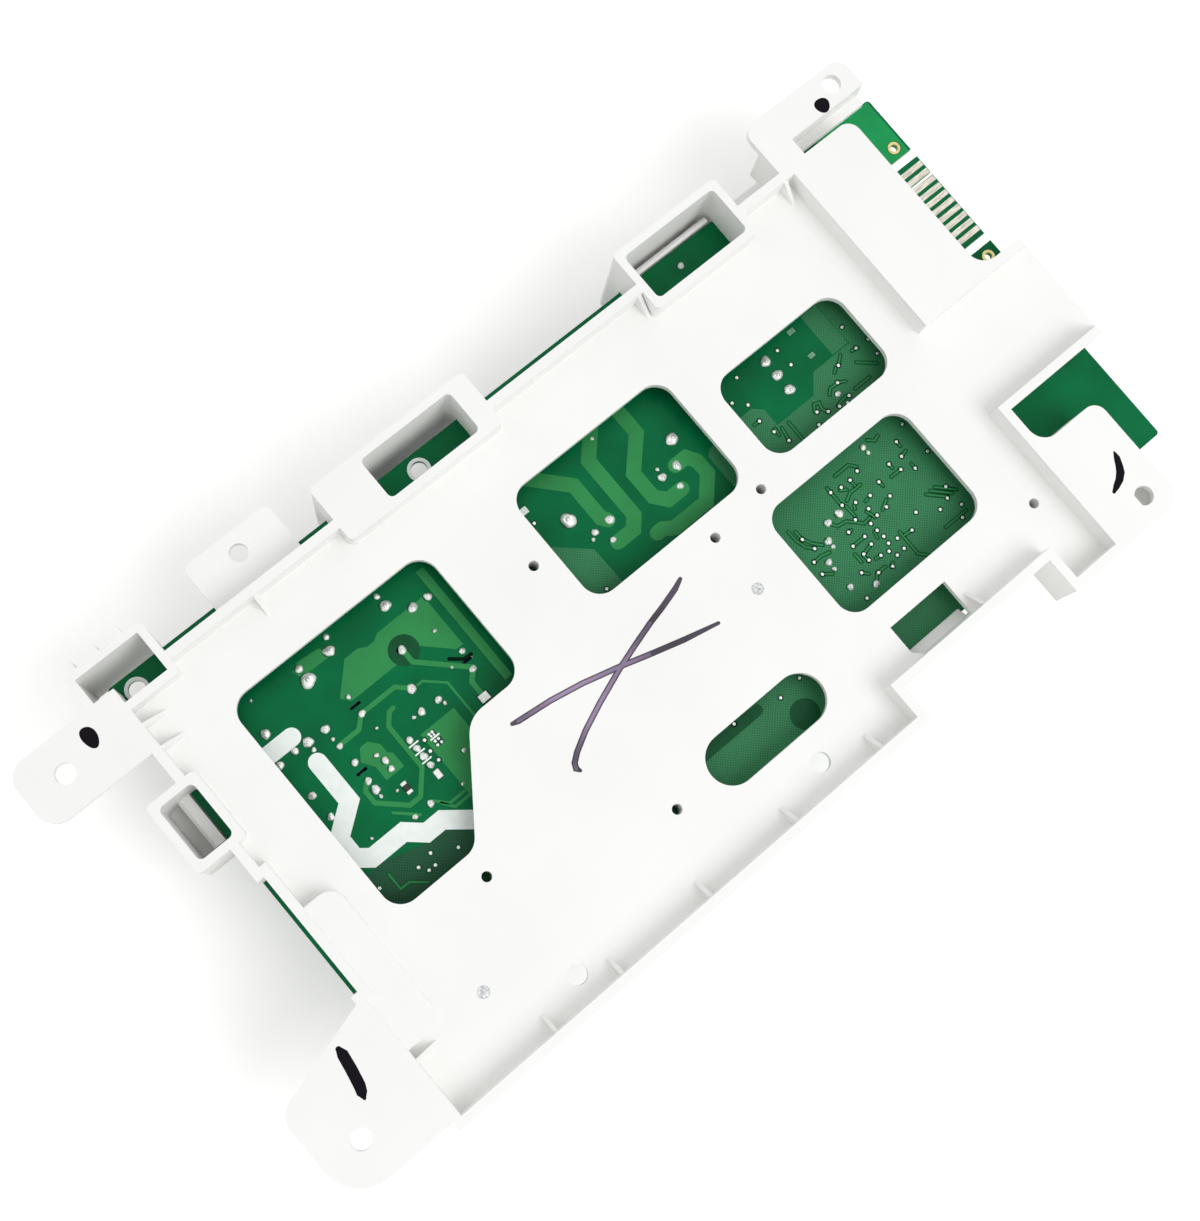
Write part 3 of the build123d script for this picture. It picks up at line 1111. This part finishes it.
with BuildPart() as drum_inductor:
    radius, waist, low = DRUM_DIAMETER / 2, DRUM_WAIST / 2, UNDER - DRUM_HEIGHT
    with BuildSketch(upright(*DRUM_AT, (1, 0))):
        with BuildLine():
            Polyline((0, low), (radius, low), (radius, low + DRUM_RIM),
                     (waist, low + DRUM_RIM), (waist, UNDER - DRUM_RIM),
                     (radius, UNDER - DRUM_RIM), (radius, UNDER), (0, UNDER), close=True)
        make_face()
    revolve(axis=Axis(spot(*DRUM_AT, 0), (0, 0, 1)))
write(drum_inductor, "drum_inductor")

with BuildPart() as bridge_rectifier:
    bridge_low = UNDER - BRIDGE_STAND - BRIDGE_HEIGHT
    bridge_half = BRIDGE_LENGTH / 2
    plate(upright(*BRIDGE_AT, (0, 1)), (
        (-bridge_half, bridge_low), (bridge_half - BRIDGE_CUT, bridge_low),
        (bridge_half, bridge_low + BRIDGE_CUT), (bridge_half, UNDER - BRIDGE_STAND),
        (-bridge_half, UNDER - BRIDGE_STAND)), BRIDGE_WIDTH)
    posts([(BRIDGE_AT[0], BRIDGE_AT[1] + (i - 1.5) * BRIDGE_PITCH) for i in range(4)],
          LEAD, UNDER - BRIDGE_STAND, UNDER)
write(bridge_rectifier, "bridge_rectifier")


# ================================================================== low-voltage side
def dip(node, at, count, along_y=True):
    """Dual in-line package: moulded body with a notch, leads bent down to the board."""
    length = count / 2 * DIP_PITCH - DIP_END
    low = UNDER - DIP_STAND - DIP_HEIGHT
    mid = low + DIP_HEIGHT / 2
    size = (DIP_BODY, length) if along_y else (length, DIP_BODY)
    notch = (at[0], at[1] + length / 2) if along_y else (at[0] - length / 2, at[1])
    with BuildPart() as piece:
        with BuildSketch(level(low)):
            with Locations(at):
                Rectangle(*size)
        extrude(amount=DIP_HEIGHT)
        chamfer(piece.edges().group_by(Axis.Z)[0], DIP_SHEET)
        with BuildSketch(level(low)):
            with Locations(notch):
                Circle(DIP_LEAD / 2)
        extrude(amount=DIP_STAND, mode=Mode.SUBTRACT)
        for i, (pin_x, pin_y) in enumerate(dip_pins(at, count, along_y)):
            side = -1 if i < count // 2 else 1
            outward = (side, 0) if along_y else (0, side)
            reach = DIP_ROW / 2 - DIP_BODY / 2
            half = DIP_SHEET / 2
            plate(upright(pin_x, pin_y, outward), (
                (-reach - half, mid - half), (half, mid - half), (half, UNDER),
                (-half, UNDER), (-half, mid + half), (-reach - half, mid + half)), DIP_LEAD)
    write(piece, node)


dip("psu_controller", CONTROLLER_AT, 8)
dip("driver_ic", DRIVER_AT, 16)
for node, at in OPTOCOUPLERS.items():
    dip(node, at, 4)

with BuildPart() as microcontroller:
    chip_low = UNDER - CHIP_STAND - CHIP_THICKNESS
    with BuildSketch(level(chip_low)):
        with Locations(CHIP_AT):
            Rectangle(CHIP_SIDE, CHIP_SIDE)
    extrude(amount=CHIP_THICKNESS)
    chamfer(microcontroller.edges().filter_by(Axis.Z), DIP_SHEET)
    sheet = CHIP_STAND
    shoulder = chip_low + CHIP_THICKNESS / 2
    for turn in range(4):
        out_x, out_y = round(math.cos(turn * math.pi / 2)), round(math.sin(turn * math.pi / 2))
        for i in range(CHIP_LEADS):
            step = (i - (CHIP_LEADS - 1) / 2) * CHIP_PITCH
            edge = (CHIP_AT[0] + out_x * CHIP_SIDE / 2 - out_y * step,
                    CHIP_AT[1] + out_y * CHIP_SIDE / 2 + out_x * step)
            plate(upright(*edge, (out_x, out_y)), (
                (-sheet, shoulder - sheet), (CHIP_FOOT, shoulder - sheet),
                (CHIP_FOOT + sheet, UNDER - 2 * sheet), (2 * CHIP_FOOT, UNDER - 2 * sheet),
                (2 * CHIP_FOOT, UNDER), (CHIP_FOOT - sheet, UNDER),
                (CHIP_FOOT - 2 * sheet, shoulder + sheet), (-sheet, shoulder + sheet)),
                CHIP_PITCH / 2)
write(microcontroller, "microcontroller")

with BuildPart() as crystal:
    with BuildSketch(level(UNDER - CRYSTAL_HEIGHT)):
        with Locations(middle(*PINS["crystal"])):
            SlotOverall(CRYSTAL_LENGTH, CRYSTAL_WIDTH)
    extrude(amount=CRYSTAL_HEIGHT)
    fillet(crystal.faces().sort_by(Axis.Z)[0].edges(), CRYSTAL_RIM)
    with BuildSketch(level(UNDER - CRYSTAL_RIM)):
        with Locations(middle(*PINS["crystal"])):
            SlotOverall(CRYSTAL_LENGTH + CRYSTAL_RIM, CRYSTAL_WIDTH + CRYSTAL_RIM)
    extrude(amount=CRYSTAL_RIM)
write(crystal, "crystal")
